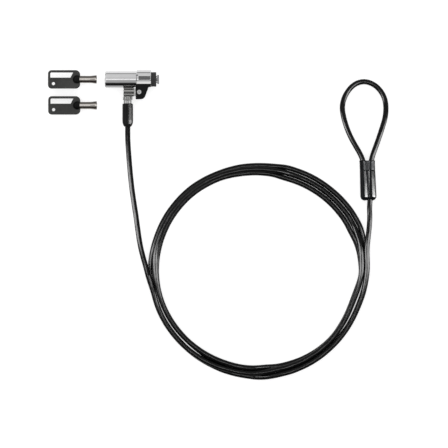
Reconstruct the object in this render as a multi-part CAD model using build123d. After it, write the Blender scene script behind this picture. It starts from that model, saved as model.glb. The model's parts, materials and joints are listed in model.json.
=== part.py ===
from build123d import *
import math
import os

# Laptop cable lock: a tubular-key T-bar lock head, hinged and swivelled on the end of a
# vinyl-coated steel cable that lies coiled in three and a half turns and ends in an anchor
# loop, with two keys.  Millimetres, +Z up.  The origin is the centre of the coil on the
# resting plane; the lock head is at -X +Y and its axis is parallel to X, nose towards +X.

os.makedirs("parts", exist_ok=True)

# ---------------------------------------------------------------- shared dimensions
CABLE_R = 3.95 / 2      # over the jacket
CORE_R = 2.60 / 2       # wire rope
CORE_HOLE_R = 2.66 / 2  # bore of the jacket

LOCK_Y = 144.8          # lock axis, parallel to X
LOCK_Z = 7.2
BARREL_R = 12.2 / 2
BARREL_REAR_X = -115.05
BARREL_FRONT_X = -91.35
SHELL_BORE_R = 9.2 / 2
INSERT_R = SHELL_BORE_R - 0.04      # fixed parts inside the shell
NOSE_R = 7.6 / 2

CHEEK_IN = 3.95         # half gap of the clevis
CHEEK_OUT = 5.5
RIVET_X = -89.3
RIVET_Y = 135.1
RIVET_R = 2.6 / 2
SWIVEL_X = -98.05       # cable axis where it enters the lock

PIN_COUNT = 7
PIN_CIRCLE_R = 2.5
CHAMBER_R = 0.50
BITTING = [0.20, 0.65, 0.35, 0.80, 0.20, 0.50, 0.80]   # depth of the key's end cuts
SPINDLE_R = 1.37
SPINDLE_HOLE_R = SPINDLE_R + 0.05


# ---------------------------------------------------------------- helpers
def box(x0, x1, y0, y1, z0, z1):
    return Pos((x0 + x1) / 2, (y0 + y1) / 2, (z0 + z1) / 2) * Box(x1 - x0, y1 - y0, z1 - z0)


def rod_x(x0, x1, radius, y=LOCK_Y, z=LOCK_Z):
    return Pos((x0 + x1) / 2, y, z) * Rot(0, 90, 0) * Cylinder(radius, x1 - x0)


def rod_y(y0, y1, radius, x, z):
    return Pos(x, (y0 + y1) / 2, z) * Rot(90, 0, 0) * Cylinder(radius, y1 - y0)


def rod_z(z0, z1, radius, x, y):
    return Pos(x, y, (z0 + z1) / 2) * Cylinder(radius, z1 - z0)


def turned_x(profile, y=LOCK_Y, z=LOCK_Z):
    """A turned part about a line parallel to X from (x, radius) points."""
    face = Face(Wire.make_polygon([(x, radius, 0) for x, radius in profile], close=True))
    return Pos(0, y, z) * revolve(face, Axis.X, 360)


def turned_y(profile, x, z):
    """A turned part about a line parallel to Y from (y, radius) points."""
    face = Face(Wire.make_polygon([(radius, y, 0) for y, radius in profile], close=True))
    return Pos(x, 0, z) * revolve(face, Axis.Y, 360)


def plate_xy(outline, z0, z1, shift_y=0.0):
    """A flat plate from z0 to z1, its (x, y) outline moved by shift_y."""
    face = Face(Wire.make_polygon([(x, y + shift_y, z0) for x, y in outline], close=True))
    return extrude(face, amount=z1 - z0, dir=(0, 0, 1))


def save(shape, name):
    """One closed body for a node, or several where the node is a set of like pieces."""
    solids = shape.solids()
    out = solids[0] if len(solids) == 1 else Compound(children=list(solids))
    out.label = name
    export_step(out, "parts/" + name + ".step")


def largest(shape):
    return max(shape.solids(), key=lambda solid: solid.volume)


def tube_along(points, radius, pitch, start=0.0, end=0.0, ruled=False):
    """A round bar that follows a smooth line through the points, from start to end
    millimetres short of the line's ends.  Its rings sit at fixed stations on the line, so
    that bars of different radius on one line nest."""
    line = Spline(*points)
    length = line.length
    count = max(2, int(round(length / pitch)))
    low, high = start, length - end
    inner = [length * i / count for i in range(count + 1)]
    stations = [low] + [s for s in inner if low + 0.3 < s < high - 0.3] + [high]
    rings = []
    for station in stations:
        fraction = station / length
        tangent = line.tangent_at(fraction)
        side = Vector(0, 0, 1).cross(tangent)
        plane = Plane(origin=line.position_at(fraction), z_dir=tangent, x_dir=side)
        rings.append(plane * Circle(radius))
    return loft(rings, ruled=ruled)


def pin_places(y=LOCK_Y, z=LOCK_Z):
    """The (y, z) of each pin about the axis at y, z, turning from +Y towards +Z."""
    angles = [math.radians(90 + 360 / PIN_COUNT * (k + 0.5)) for k in range(PIN_COUNT)]
    return [(y + PIN_CIRCLE_R * math.cos(a), z + PIN_CIRCLE_R * math.sin(a)) for a in angles]


# ---------------------------------------------------------------- cable centre lines
# Stations (x, y, z).  The lead runs from the lock to the coil, the coil holds the wound
# turns, and the tail leaves the coil, passes through the sleeve, goes round the loop and
# ends in the sleeve.
COIL_PATH = [
    (-87.90, 16.88, 6.38), (-86.21, 10.33, 6.28), (-84.40, 3.82, 6.23), (-82.69, -2.72, 6.22),
    (-80.67, -9.16, 5.99), (-78.63, -15.60, 6.05), (-76.80, -22.10, 6.05),
    (-74.50, -28.46, 6.05), (-71.57, -34.54, 6.05), (-68.11, -40.34, 6.05),
    (-64.14, -45.81, 6.05), (-59.73, -50.94, 6.05), (-54.94, -55.70, 6.05),
    (-49.74, -60.02, 6.04), (-44.15, -63.82, 6.02), (-38.25, -67.10, 5.97),
    (-32.07, -69.85, 5.88), (-25.68, -72.01, 5.69), (-19.13, -73.68, 5.52),
    (-12.51, -75.05, 5.54), (-5.78, -75.64, 5.74), (0.96, -75.28, 6.01), (7.62, -74.17, 5.93),
    (14.22, -72.76, 5.63), (20.78, -71.12, 5.50), (27.17, -68.96, 5.61), (33.33, -66.16, 5.78),
    (39.22, -62.86, 5.89), (44.79, -59.03, 5.97), (50.00, -54.74, 6.01), (54.75, -49.93, 6.03),
    (58.99, -44.67, 6.04), (62.76, -39.06, 6.03), (66.07, -33.17, 6.03), (68.86, -27.01, 6.02),
    (71.40, -20.75, 6.01), (73.84, -14.45, 6.00), (75.83, -7.99, 6.04), (77.13, -1.36, 6.06),
    (77.51, 5.38, 6.04), (77.34, 12.14, 5.90), (76.83, 18.86, 5.46), (75.50, 25.41, 4.51),
    (73.22, 31.53, 2.79), (70.29, 37.53, 2.00), (66.79, 43.30, 2.00), (62.65, 48.65, 2.00),
    (58.08, 53.62, 2.00), (53.09, 58.18, 2.00), (47.76, 62.34, 2.00), (42.08, 66.00, 2.00),
    (36.11, 69.16, 2.00), (29.89, 71.80, 2.00), (23.49, 73.97, 2.02), (17.16, 75.60, 3.63),
    (10.60, 76.74, 4.68), (3.87, 77.39, 4.93), (-2.88, 77.50, 5.06), (-9.63, 77.09, 5.08),
    (-16.32, 76.16, 5.18), (-22.91, 74.70, 5.35), (-29.35, 72.65, 5.50), (-35.58, 70.02, 5.52),
    (-41.56, 66.89, 5.52), (-47.27, 63.26, 5.52), (-52.56, 59.06, 5.52), (-57.42, 54.37, 5.52),
    (-61.86, 49.27, 5.52), (-65.86, 43.83, 5.50), (-69.35, 38.04, 5.47), (-72.31, 31.96, 5.47),
    (-74.75, 25.66, 5.49), (-76.53, 19.15, 5.54), (-77.46, 12.46, 5.73), (-77.59, 5.71, 5.92),
    (-77.15, -1.04, 6.02), (-76.26, -7.73, 6.05), (-74.78, -14.33, 6.05),
    (-72.90, -20.82, 6.06), (-70.41, -27.10, 6.06), (-67.35, -33.13, 6.06),
    (-63.77, -38.86, 6.06), (-59.68, -44.24, 6.06), (-55.11, -49.21, 6.05),
    (-50.08, -53.73, 6.05), (-44.70, -57.81, 6.01), (-39.00, -61.44, 5.94),
    (-32.99, -64.54, 5.83), (-26.74, -67.11, 5.68), (-20.32, -69.19, 5.58),
    (-13.74, -70.73, 5.50), (-7.03, -71.53, 5.27), (-0.32, -71.53, 4.56), (6.08, -71.03, 2.48),
    (12.78, -70.64, 2.00), (19.42, -69.39, 2.00), (25.92, -67.54, 2.00), (32.25, -65.16, 2.00),
    (38.31, -62.19, 2.00), (44.07, -58.64, 2.00), (49.43, -54.53, 2.00), (54.34, -49.89, 2.00),
    (58.63, -44.67, 2.00), (62.31, -39.00, 2.00), (65.58, -33.09, 2.00), (68.33, -26.92, 2.00),
    (70.76, -20.61, 2.00), (73.13, -14.28, 2.00), (75.45, -7.93, 2.00), (77.06, -1.39, 2.00),
    (77.04, 5.37, 2.00), (76.19, 12.07, 2.00), (74.68, 18.66, 2.00), (72.23, 24.94, 2.00),
    (69.11, 30.94, 2.00), (66.02, 36.95, 2.00), (62.30, 42.59, 2.00), (58.00, 47.81, 2.00),
    (53.29, 52.64, 2.00), (48.14, 57.02, 2.00), (42.61, 60.91, 2.00), (36.77, 64.31, 2.00),
    (30.65, 67.18, 2.00), (24.31, 69.50, 2.00), (17.84, 71.47, 2.00), (11.39, 73.46, 2.00),
    (4.71, 74.48, 2.00), (-2.04, 74.86, 2.00), (-8.79, 74.58, 2.00), (-15.50, 73.80, 2.00),
    (-22.15, 72.57, 2.00), (-28.64, 70.71, 2.00), (-34.87, 68.09, 2.00), (-40.85, 64.94, 2.00),
    (-46.53, 61.29, 2.00), (-51.80, 57.05, 2.00), (-56.62, 52.32, 2.00), (-61.00, 47.17, 2.00),
    (-64.91, 41.66, 2.00), (-68.25, 35.78, 2.00), (-71.06, 29.64, 2.00), (-73.34, 23.28, 2.00),
    (-75.03, 16.74, 2.00), (-76.15, 10.07, 2.00), (-76.59, 3.33, 2.00), (-76.45, -3.43, 2.00),
    (-75.65, -10.14, 2.00), (-74.18, -16.73, 2.00), (-72.08, -23.15, 2.00),
    (-69.36, -29.34, 2.00), (-66.10, -35.26, 2.00), (-62.31, -40.85, 2.00),
    (-58.04, -46.09, 2.00), (-53.40, -51.00, 2.00), (-48.41, -55.57, 2.00),
    (-43.13, -59.78, 2.00), (-37.50, -63.51, 2.00), (-31.59, -66.79, 2.00),
    (-25.40, -69.51, 2.00), (-18.96, -71.56, 2.00), (-12.37, -73.05, 2.00),
    (-5.69, -74.06, 2.00), (1.03, -74.75, 2.00), (7.79, -75.02, 2.00), (14.52, -74.49, 2.00),
    (21.14, -73.15, 2.00), (27.62, -71.23, 2.00), (33.93, -68.81, 2.00), (40.02, -65.87, 2.00),
    (45.80, -62.39, 2.00), (51.21, -58.33, 2.00), (56.20, -53.78, 2.00), (60.83, -48.85, 2.00),
    (64.99, -43.53, 2.00), (68.65, -37.85, 2.00), (71.80, -31.87, 2.00), (74.51, -25.68, 2.00),
    (76.96, -19.38, 2.00), (78.97, -12.93, 2.00), (80.44, -6.33, 2.00), (81.27, 0.37, 2.00),
    (81.28, 7.13, 2.00), (80.74, 13.86, 2.00), (79.74, 20.55, 2.00), (78.43, 27.18, 2.00),
    (76.63, 33.68, 2.00), (73.66, 39.75, 2.00), (70.15, 45.52, 2.00), (66.06, 50.90, 2.00),
    (61.53, 55.91, 2.00), (56.57, 60.50, 2.00), (51.30, 64.73, 2.00), (45.71, 68.53, 2.00),
    (39.83, 71.86, 2.00), (33.68, 74.67, 2.00), (27.33, 76.97, 2.00), (20.82, 78.80, 2.00),
    (14.11, 79.53, 2.00), (7.37, 80.05, 2.00), (0.62, 80.25, 2.00), (-6.14, 80.03, 2.00),
    (-12.86, 79.33, 2.00), (-19.47, 77.95, 2.00), (-25.95, 76.03, 2.00), (-32.27, 73.63, 2.00),
    (-38.43, 70.85, 2.00), (-44.35, 67.59, 2.00), (-49.96, 63.82, 2.00), (-55.14, 59.48, 2.00),
    (-59.90, 54.69, 2.00), (-64.26, 49.53, 2.00), (-68.20, 44.03, 2.00), (-71.59, 38.19, 2.00),
    (-74.45, 32.07, 2.00), (-76.84, 25.74, 2.00), (-78.76, 19.27, 2.00), (-80.17, 12.66, 2.00),
    (-81.00, 5.95, 2.00), (-81.19, -0.80, 2.00), (-80.32, -7.50, 2.00), (-79.00, -14.13, 2.00),
    (-77.28, -20.66, 2.00), (-75.08, -27.05, 2.00), (-72.28, -33.20, 2.00),
    (-68.93, -39.07, 2.00), (-65.05, -44.60, 2.00), (-60.75, -49.81, 2.00),
    (-56.11, -54.74, 2.00), (-51.11, -59.28, 2.00), (-45.72, -63.36, 2.00),
    (-40.01, -66.97, 2.00), (-34.04, -70.14, 2.00), (-27.88, -72.90, 2.00),
    (-21.46, -75.03, 2.00), (-14.90, -76.66, 2.00), (-8.24, -77.81, 2.00),
    (-1.54, -78.59, 2.21), (4.92, -78.44, 4.14), (11.53, -77.45, 5.08), (18.11, -75.97, 5.43),
    (24.63, -74.18, 5.53), (30.92, -71.73, 5.68), (37.02, -68.82, 5.81), (42.84, -65.38, 5.92),
    (48.32, -61.44, 5.99), (53.45, -57.04, 6.02), (58.26, -52.29, 6.03), (62.64, -47.14, 6.05),
    (66.55, -41.63, 6.05), (69.99, -35.81, 6.06), (72.97, -29.75, 6.06), (75.59, -23.52, 6.06),
    (77.93, -17.18, 6.06), (79.68, -10.65, 6.06), (80.87, -4.00, 6.06), (81.52, 2.73, 6.06),
    (81.50, 9.48, 6.05), (81.31, 16.24, 6.00), (81.80, 22.98, 5.96), (82.60, 29.67, 5.68),
    (83.21, 36.37, 5.18),
]
LEAD_PIVOT = COIL_PATH[0]
TAIL_PIVOT = COIL_PATH[-1]

LEAD_PATH = [
    (SWIVEL_X, 127.45, LOCK_Z), (SWIVEL_X, 121.40, LOCK_Z), (SWIVEL_X, 115.40, LOCK_Z),
    (SWIVEL_X, 109.35, LOCK_Z), (-97.99, 100.04, 7.20), (-97.45, 90.74, 7.20),
    (-96.73, 81.45, 7.14), (-95.90, 72.17, 7.07), (-94.88, 62.91, 7.00), (-93.59, 53.69, 6.92),
    (-92.17, 44.48, 6.81), (-90.88, 35.26, 6.68), (-89.61, 26.03, 6.53), LEAD_PIVOT,
]

TAIL_PATH = [
    TAIL_PIVOT, (83.47, 42.95, 4.70), (83.35, 48.20, 4.40), (83.66, 53.90, 4.05),
    (83.85, 62.00, 4.00), (84.30, 73.00, 4.00), (84.78, 84.10, 4.00), (87.23, 92.32, 3.90),
    (90.08, 100.20, 3.65), (92.92, 108.82, 3.28), (95.10, 116.70, 2.90), (95.70, 123.15, 2.61),
    (94.95, 129.60, 2.36), (91.88, 136.05, 2.18), (86.48, 141.07, 2.11), (79.27, 143.25, 2.10),
    (72.15, 141.07, 2.11), (67.42, 136.43, 2.17), (64.20, 130.35, 2.33), (63.00, 123.90, 2.58),
    (63.52, 118.88, 2.80), (65.33, 111.68, 3.15), (68.92, 102.38, 3.57), (73.58, 93.75, 3.86),
    (78.25, 84.10, 4.00), (79.30, 76.50, 4.00), (79.60, 68.50, 4.00), (79.65, 57.60, 4.00),
]

# ---------------------------------------------------------------- cable
SOCKET_R = 2.10         # concave end where one cable length bends against the next
SOLID_END = 5.0         # length of jacket left solid at each bend point
CORE_END = SOLID_END + 0.05
END_PITCH = 4.0         # ring spacing on the lead and the tail
COIL_PITCH = 5.5


def end_jacket(path, pivot, **solid_ends):
    """Jacket of the lead or the tail, with a ball where it meets the coil."""
    bar = tube_along(path, CABLE_R, END_PITCH)
    hole = tube_along(path, CORE_HOLE_R, END_PITCH, **solid_ends)
    return bar + Pos(*pivot) * Sphere(CABLE_R) - hole


save(end_jacket(LEAD_PATH, LEAD_PIVOT, end=SOLID_END), "cable_jacket_lead")
save(tube_along(LEAD_PATH, CORE_R, END_PITCH, end=CORE_END), "wire_core_lead")

coil_jacket = tube_along(COIL_PATH, CABLE_R, COIL_PITCH, ruled=True)
coil_jacket = coil_jacket - tube_along(
    COIL_PATH, CORE_HOLE_R, COIL_PITCH, start=SOLID_END, end=SOLID_END, ruled=True
)
for pivot in (LEAD_PIVOT, TAIL_PIVOT):
    coil_jacket = coil_jacket - Pos(*pivot) * Sphere(SOCKET_R)
save(coil_jacket, "cable_jacket_coil")
coil_core = tube_along(COIL_PATH, CORE_R, COIL_PITCH, start=CORE_END, end=CORE_END, ruled=True)
save(coil_core, "wire_core_coil")

save(end_jacket(TAIL_PATH, TAIL_PIVOT, start=SOLID_END), "cable_jacket_tail")
save(tube_along(TAIL_PATH, CORE_R, END_PITCH, start=CORE_END), "wire_core_tail")

# ---------------------------------------------------------------- cable end at the lock
# The profiles in this section are (y, radius) about the swivel axis.
# Moulded strain boot: a plain round body with a bullet-shaped -Y end.
BOOT_PROFILE = [
    (126.55, 2.95), (126.55, 3.80), (126.30, 3.95), (124.0, 4.00), (118.0, 4.03), (114.2, 4.05),
    (112.6, 3.95), (111.4, 3.70), (110.4, 3.25), (109.7, 2.75), (109.35, 2.35),
    (109.35, 2.08), (119.4, 2.08), (119.4, 2.95),
]
save(turned_y(BOOT_PROFILE, SWIVEL_X, LOCK_Z), "strain_boot")

# Crimp ferrule: socket for the cable at -Y, flange, and the grooved swivel stem at +Y.
STEM_R = 1.70
GROOVE_R = 1.25
FERRULE_PROFILE = [
    (119.5, 2.04), (119.5, 2.75), (119.7, 2.90), (126.6, 2.90), (126.6, 2.95), (126.75, 3.15),
    (128.90, 3.15), (129.15, 2.95), (129.15, STEM_R), (133.20, STEM_R), (133.20, GROOVE_R),
    (133.80, GROOVE_R), (133.80, STEM_R), (134.40, STEM_R), (134.70, 1.40), (134.70, 0.0),
    (127.6, 0.0), (127.6, 2.04),
]
save(turned_y(FERRULE_PROFILE, SWIVEL_X, LOCK_Z), "crimp_ferrule")

# Retaining clip in the stem's groove, inside the neck block, open towards +Z.
CLIP_R = 2.5
CLIP_HALF_GAP = 0.9
clip = rod_y(133.25, 133.75, CLIP_R, SWIVEL_X, LOCK_Z)
clip = clip - rod_y(133.0, 134.0, GROOVE_R + 0.03, SWIVEL_X, LOCK_Z)
clip = clip - box(SWIVEL_X - CLIP_HALF_GAP, SWIVEL_X + CLIP_HALF_GAP, 133.0, 134.0,
                  LOCK_Z, LOCK_Z + 3)
save(clip, "swivel_clip")

# Swivel collar: flanged bush pressed into the -Y end of the neck block.
COLLAR_PROFILE = [
    (129.30, 1.76), (129.30, 3.35), (129.55, 3.65), (130.10, 3.70), (130.25, 3.50),
    (130.45, 3.50), (130.60, 3.70), (131.30, 3.70), (131.55, 3.45), (131.55, 2.85),
    (132.90, 2.85), (132.90, 1.76),
]
save(turned_y(COLLAR_PROFILE, SWIVEL_X, LOCK_Z), "swivel_collar")

# ---------------------------------------------------------------- neck
# Neck block: a squat block with a saddle that clears the barrel, waisted by three grooves
# on its -X and +-Z sides, and a side lug for the hinge.
NECK_X0 = -101.6
NECK_X1 = -93.45
NECK_Y0 = 131.6
NECK_HALF_Z = 3.8
SADDLE_R = 6.3
NECK_WAISTS = [(136.9, 137.9, 0.35), (134.2, 135.7, 0.28), (132.2, 133.0, 0.5)]  # y0, y1, depth
LUG_R = 3.0
LUG_HALF_Z = 3.6


def waist(y0, y1, depth):
    ring = box(NECK_X0 - 1, NECK_X1, y0, y1, LOCK_Z - 6, LOCK_Z + 6)
    half_z = NECK_HALF_Z - depth
    inner = box(NECK_X0 + depth, NECK_X1 + 1, y0, y1, LOCK_Z - half_z, LOCK_Z + half_z)
    return ring - fillet(inner.edges().filter_by(Axis.Y), 0.6)


neck = box(NECK_X0, NECK_X1, NECK_Y0, 141.0, LOCK_Z - NECK_HALF_Z, LOCK_Z + NECK_HALF_Z)
neck = fillet(neck.edges().filter_by(Axis.Y), 0.9)
neck = neck - rod_x(NECK_X0 - 2, NECK_X1 + 2, SADDLE_R)
neck = chamfer(neck.faces().sort_by(Axis.Y)[0].edges(), 0.35)
for y0, y1, depth in NECK_WAISTS:
    neck = neck - waist(y0, y1, depth)
lug = box(NECK_X1 - 1.2, RIVET_X, RIVET_Y - LUG_R, RIVET_Y + LUG_R,
          LOCK_Z - LUG_HALF_Z, LOCK_Z + LUG_HALF_Z)
lug = lug + rod_z(LOCK_Z - LUG_HALF_Z, LOCK_Z + LUG_HALF_Z, LUG_R, RIVET_X, RIVET_Y)
neck = neck + lug
neck = neck - rod_z(0, 15, RIVET_R + 0.05, RIVET_X, RIVET_Y)
neck = neck - rod_y(NECK_Y0 - 1, 135.4, 2.88, SWIVEL_X, LOCK_Z)
save(neck, "neck_block")

# Two friction washers between the lug and the cheeks.
WASHER_R = 2.8
WASHER_PLAY = 0.03
washers = []
for side in (-1, 1):
    z0, z1 = sorted((LOCK_Z + side * (LUG_HALF_Z + WASHER_PLAY),
                     LOCK_Z + side * (CHEEK_IN - WASHER_PLAY)))
    washer = rod_z(z0, z1, WASHER_R, RIVET_X, RIVET_Y)
    washer = washer - rod_z(z0 - 1, z1 + 1, RIVET_R + 0.06, RIVET_X, RIVET_Y)
    washers.append(washer.solid())
save(Compound(children=washers), "hinge_washers")

# ---------------------------------------------------------------- bracket
# Two cheeks that straddle the lug, joined to a hub round the barrel's neck.
HUB_X0 = -91.2
HUB_X1 = -80.7
HUB_R = 11.1 / 2
HUB_BORE_R = 9.32 / 2
CHEEK_OUTLINE = [       # (x, y)
    (-92.0, 141.30), (HUB_X1, 141.30), (HUB_X1, 139.25), (-82.60, 138.95), (-83.25, 137.0),
    (-84.0, 135.1), (-84.7, 133.1), (-85.1, 132.2), (-85.6, 131.4), (-86.25, 130.7),
    (-87.1, 130.3), (-88.2, 130.05), (-92.0, 130.0),
]
bracket = plate_xy(CHEEK_OUTLINE, LOCK_Z - CHEEK_OUT, LOCK_Z + CHEEK_OUT)
bracket = bracket - box(-95, -78, 120, 138.4, LOCK_Z - CHEEK_IN, LOCK_Z + CHEEK_IN)
bracket = bracket + rod_x(HUB_X0, HUB_X1, HUB_R)
bracket = bracket - rod_x(HUB_X0 - 5, HUB_X0, BARREL_R + 0.15)
bracket = bracket - rod_x(HUB_X0 - 5, HUB_X1 + 5, HUB_BORE_R)
bracket = bracket - rod_z(-2, 16, RIVET_R + 0.02, RIVET_X, RIVET_Y)
faces_by_z = bracket.faces().sort_by(Axis.Z)
outer_rims = [
    edge for face in (faces_by_z[-1], faces_by_z[0])
    for edge in face.edges() if edge.center().Y < 138.0 and edge.geom_type == GeomType.LINE
]
# The chamfer may fail on the short edges of the outline; the rims then stay sharp.
try:
    bracket = chamfer(outer_rims, 0.3)
except Exception:
    pass
save(bracket, "swivel_bracket")

# Hood over the hub, cut off at -Y where the bracket comes out of it.
HOOD_R = 14.4 / 2
HOOD_BORE_R = 11.24 / 2
HOOD_EDGE_Y = 141.35
HOOD_PROFILE = [        # (x, radius)
    (-91.25, HOOD_BORE_R), (-91.25, 6.95), (-91.0, HOOD_R), (-80.9, HOOD_R),
    (-80.6, 6.9), (-80.6, HOOD_BORE_R),
]
hood = turned_x(HOOD_PROFILE) - box(-95, -75, 130, HOOD_EDGE_Y, -3, 18)
# Slot and notch on the +Z side, cut right through so that the hub shows.
hood = hood - box(-89.80, -81.20, 144.25, 146.95, 12.0, 16.0)
hood = hood - box(-92.00, -90.20, 147.35, 148.15, 11.0, 16.0)
save(hood, "collar_hood")

# Rivet with a chamfered, dimpled head outside each cheek.
RIVET_HEAD_R = 3.45 / 2
RIVET_HEAD_H = 0.45
rivet = rod_z(LOCK_Z - CHEEK_OUT, LOCK_Z + CHEEK_OUT, RIVET_R, RIVET_X, RIVET_Y)
for side in (-1, 1):
    z0, z1 = sorted((LOCK_Z + side * CHEEK_OUT, LOCK_Z + side * (CHEEK_OUT + RIVET_HEAD_H)))
    head = rod_z(z0, z1, RIVET_HEAD_R, RIVET_X, RIVET_Y)
    rim = head.edges().filter_by(GeomType.CIRCLE).sort_by(Axis.Z)[-1 if side > 0 else 0]
    head = chamfer(rim, 0.18)
    dimple_z = LOCK_Z + side * (CHEEK_OUT + 0.35)
    rivet = rivet + head - rod_z(dimple_z - 0.15, dimple_z + 0.15, 0.5, RIVET_X, RIVET_Y)
save(rivet, "hinge_rivet")

# ---------------------------------------------------------------- barrel
# The profiles from here on are (x, radius).
NECK_R = 9.2 / 2        # front neck of the barrel, inside the bracket hub
NECK_END_X = -80.6
NOSE_END_X = -77.2
NOSE_BORE_R = 5.8 / 2
HOUSING_PIN_X = -97.5
HOUSING_PIN_R = 0.75
HOUSING_PIN_HOLE_R = HOUSING_PIN_R + 0.02

SHELL_PROFILE = [
    (BARREL_REAR_X, SHELL_BORE_R), (BARREL_REAR_X, 5.45), (-114.75, 5.85), (-114.2, BARREL_R),
    (-91.65, BARREL_R), (BARREL_FRONT_X, 5.85), (BARREL_FRONT_X, NECK_R), (NECK_END_X, NECK_R),
    (NECK_END_X, NOSE_R), (NOSE_END_X, NOSE_R), (NOSE_END_X, NOSE_BORE_R),
    (-93.3, NOSE_BORE_R), (-93.3, SHELL_BORE_R),
]
shell = turned_x(SHELL_PROFILE)
shell = shell - rod_z(LOCK_Z - 8, LOCK_Z - 3.5, HOUSING_PIN_HOLE_R, HOUSING_PIN_X, LOCK_Y)
save(shell, "barrel_shell")

# Keyway sleeve: the round keyhole, its notch for the key's lug, and the ring-shaped
# recess behind the face in which that lug turns.
KEYWAY_PROFILE = [
    (-114.75, 3.35), (-114.75, INSERT_R), (-108.2, INSERT_R), (-108.2, 3.75), (-112.3, 3.75),
    (-112.3, 3.15), (-114.55, 3.15),
]
keyway = turned_x(KEYWAY_PROFILE)
keyway = keyway - box(-115.5, -112.2, LOCK_Y - 0.85, LOCK_Y + 0.85, LOCK_Z - 3.75, LOCK_Z)
save(keyway, "keyway_sleeve")

# Stator: fixed pin housing with one blind chamber for each driver pin.
STATOR_X0 = -103.95
STATOR_X1 = -93.35
CHAMBER_END_X = -95.0
stator = rod_x(STATOR_X0, STATOR_X1, INSERT_R)
stator = stator - rod_x(STATOR_X0 - 1, STATOR_X1 + 1, SPINDLE_HOLE_R)
for y, z in pin_places():
    stator = stator - rod_x(STATOR_X0 - 1, CHAMBER_END_X, CHAMBER_R, y, z)
stator = stator - rod_z(LOCK_Z - 6, LOCK_Z - 3.35, HOUSING_PIN_HOLE_R, HOUSING_PIN_X, LOCK_Y)
save(stator, "pin_housing")

housing_pin = rod_z(LOCK_Z - 6.0, LOCK_Z - 3.42, HOUSING_PIN_R, HOUSING_PIN_X, LOCK_Y)
save(housing_pin, "housing_pin")

# Driver pins, each with a helical compression spring between it and the chamber's end.
DRIVER_PROFILE = [
    (-103.92, 0), (-103.92, 0.36), (-103.84, 0.44), (-100.48, 0.44), (-100.4, 0.36), (-100.4, 0),
]
SPRING_X0 = -100.3
SPRING_WIRE_R = 0.075
drivers = []
springs = []
for y, z in pin_places():
    drivers.append(turned_x(DRIVER_PROFILE, y, z).solid())
    helix = Helix(pitch=0.86, height=5.16, radius=0.31)
    wire_plane = Plane(origin=helix.position_at(0), z_dir=helix.tangent_at(0))
    spring = sweep(wire_plane * Circle(SPRING_WIRE_R), path=helix, is_frenet=True)
    springs.append((Pos(SPRING_X0, y, z) * Rot(0, 90, 0) * spring).solid())
save(Compound(children=drivers), "driver_pins")
save(Compound(children=springs), "driver_springs")

# Nose plate and its two fixed guard pins, which stand in the slot beside the T-bar.
GUARD_OFFSET_Y = 2.15
GUARD_R = 0.45
plate = rod_x(-79.6, -77.25, NOSE_BORE_R - 0.04) - rod_x(-81, -76, SPINDLE_HOLE_R)
guards = []
for side in (-1, 1):
    guard_y = LOCK_Y + side * GUARD_OFFSET_Y
    plate = plate - rod_x(-81, -76, GUARD_R + 0.02, guard_y)
    guards.append(rod_x(-79.55, -76.0, GUARD_R, guard_y).solid())
save(plate, "nose_plate")
save(Compound(children=guards), "guard_pins")

# Rubber gasket ring with fine ribs round it, parted by grooves.
GASKET_R = 11.0 / 2
GASKET_BORE_R = NOSE_R + 0.04
GASKET_X0 = -80.5
GASKET_X1 = -76.7
GASKET_GROOVES = 4
GROOVE_PITCH = 0.76
groove_floor_r = GASKET_R - 0.22
gasket_profile = [(GASKET_X0, GASKET_BORE_R), (GASKET_X0, 5.3), (GASKET_X0 + 0.2, GASKET_R)]
for i in range(GASKET_GROOVES):
    x = GASKET_X0 + 0.62 + GROOVE_PITCH * i
    gasket_profile += [
        (x, GASKET_R), (x + 0.1, groove_floor_r), (x + 0.26, groove_floor_r), (x + 0.36, GASKET_R),
    ]
gasket_profile += [(GASKET_X1 - 0.2, GASKET_R), (GASKET_X1, 5.3), (GASKET_X1, GASKET_BORE_R)]
save(turned_x(gasket_profile), "gasket_ring")

# ---------------------------------------------------------------- core
ROTOR_REAR_X = -108.05
SHEAR_X = -104.05
ROTOR_R = 4.53
ROTOR_BORE_R = SPINDLE_R + 0.03
POST_R = 1.85
ROTOR_PIN_X = -105.6
ROTOR_PIN_R = 0.40
ROTOR_PIN_HOLE_R = ROTOR_PIN_R + 0.02

# Rotor: a post that enters the key's bore, and a disc with the key pin chambers.
rotor = turned_x([
    (-114.4, 0), (-114.4, 1.55), (-114.1, POST_R), (ROTOR_REAR_X, POST_R),
    (ROTOR_REAR_X, ROTOR_R), (SHEAR_X, ROTOR_R), (SHEAR_X, ROTOR_BORE_R),
    (-107.0, ROTOR_BORE_R), (-107.0, 0),
])
for y, z in pin_places():
    rotor = rotor - rod_x(ROTOR_REAR_X - 1, SHEAR_X + 1, CHAMBER_R, y, z)
rotor = rotor - rod_z(LOCK_Z, LOCK_Z + 6, ROTOR_PIN_HOLE_R, ROTOR_PIN_X, LOCK_Y)
save(rotor, "core_rotor")

# Spindle, T-bar and the cross pin that joins them.
TBAR_X0 = -75.9
TBAR_X1 = -74.6
TBAR_HALF_LONG = 6.8 / 2        # passes the long way of a 7 x 3 mm security slot
TBAR_HALF_SHORT = 2.7 / 2       # passes the short way of the slot
TBAR_PIN_X = -78.9
TBAR_PIN_R = 0.33

cross_hole = rod_y(LOCK_Y - 3, LOCK_Y + 3, TBAR_PIN_R + 0.02, TBAR_PIN_X, LOCK_Z)
spindle = rod_x(-106.95, -77.4, SPINDLE_R) - rod_x(-80.2, -77, 0.95)
spindle = spindle - rod_z(LOCK_Z - 0.6, LOCK_Z + 3, ROTOR_PIN_HOLE_R, ROTOR_PIN_X, LOCK_Y)
spindle = spindle - cross_hole
save(spindle, "drive_spindle")
save(rod_z(LOCK_Z - 0.55, LOCK_Z + 4.4, ROTOR_PIN_R, ROTOR_PIN_X, LOCK_Y), "rotor_pin")

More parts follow.
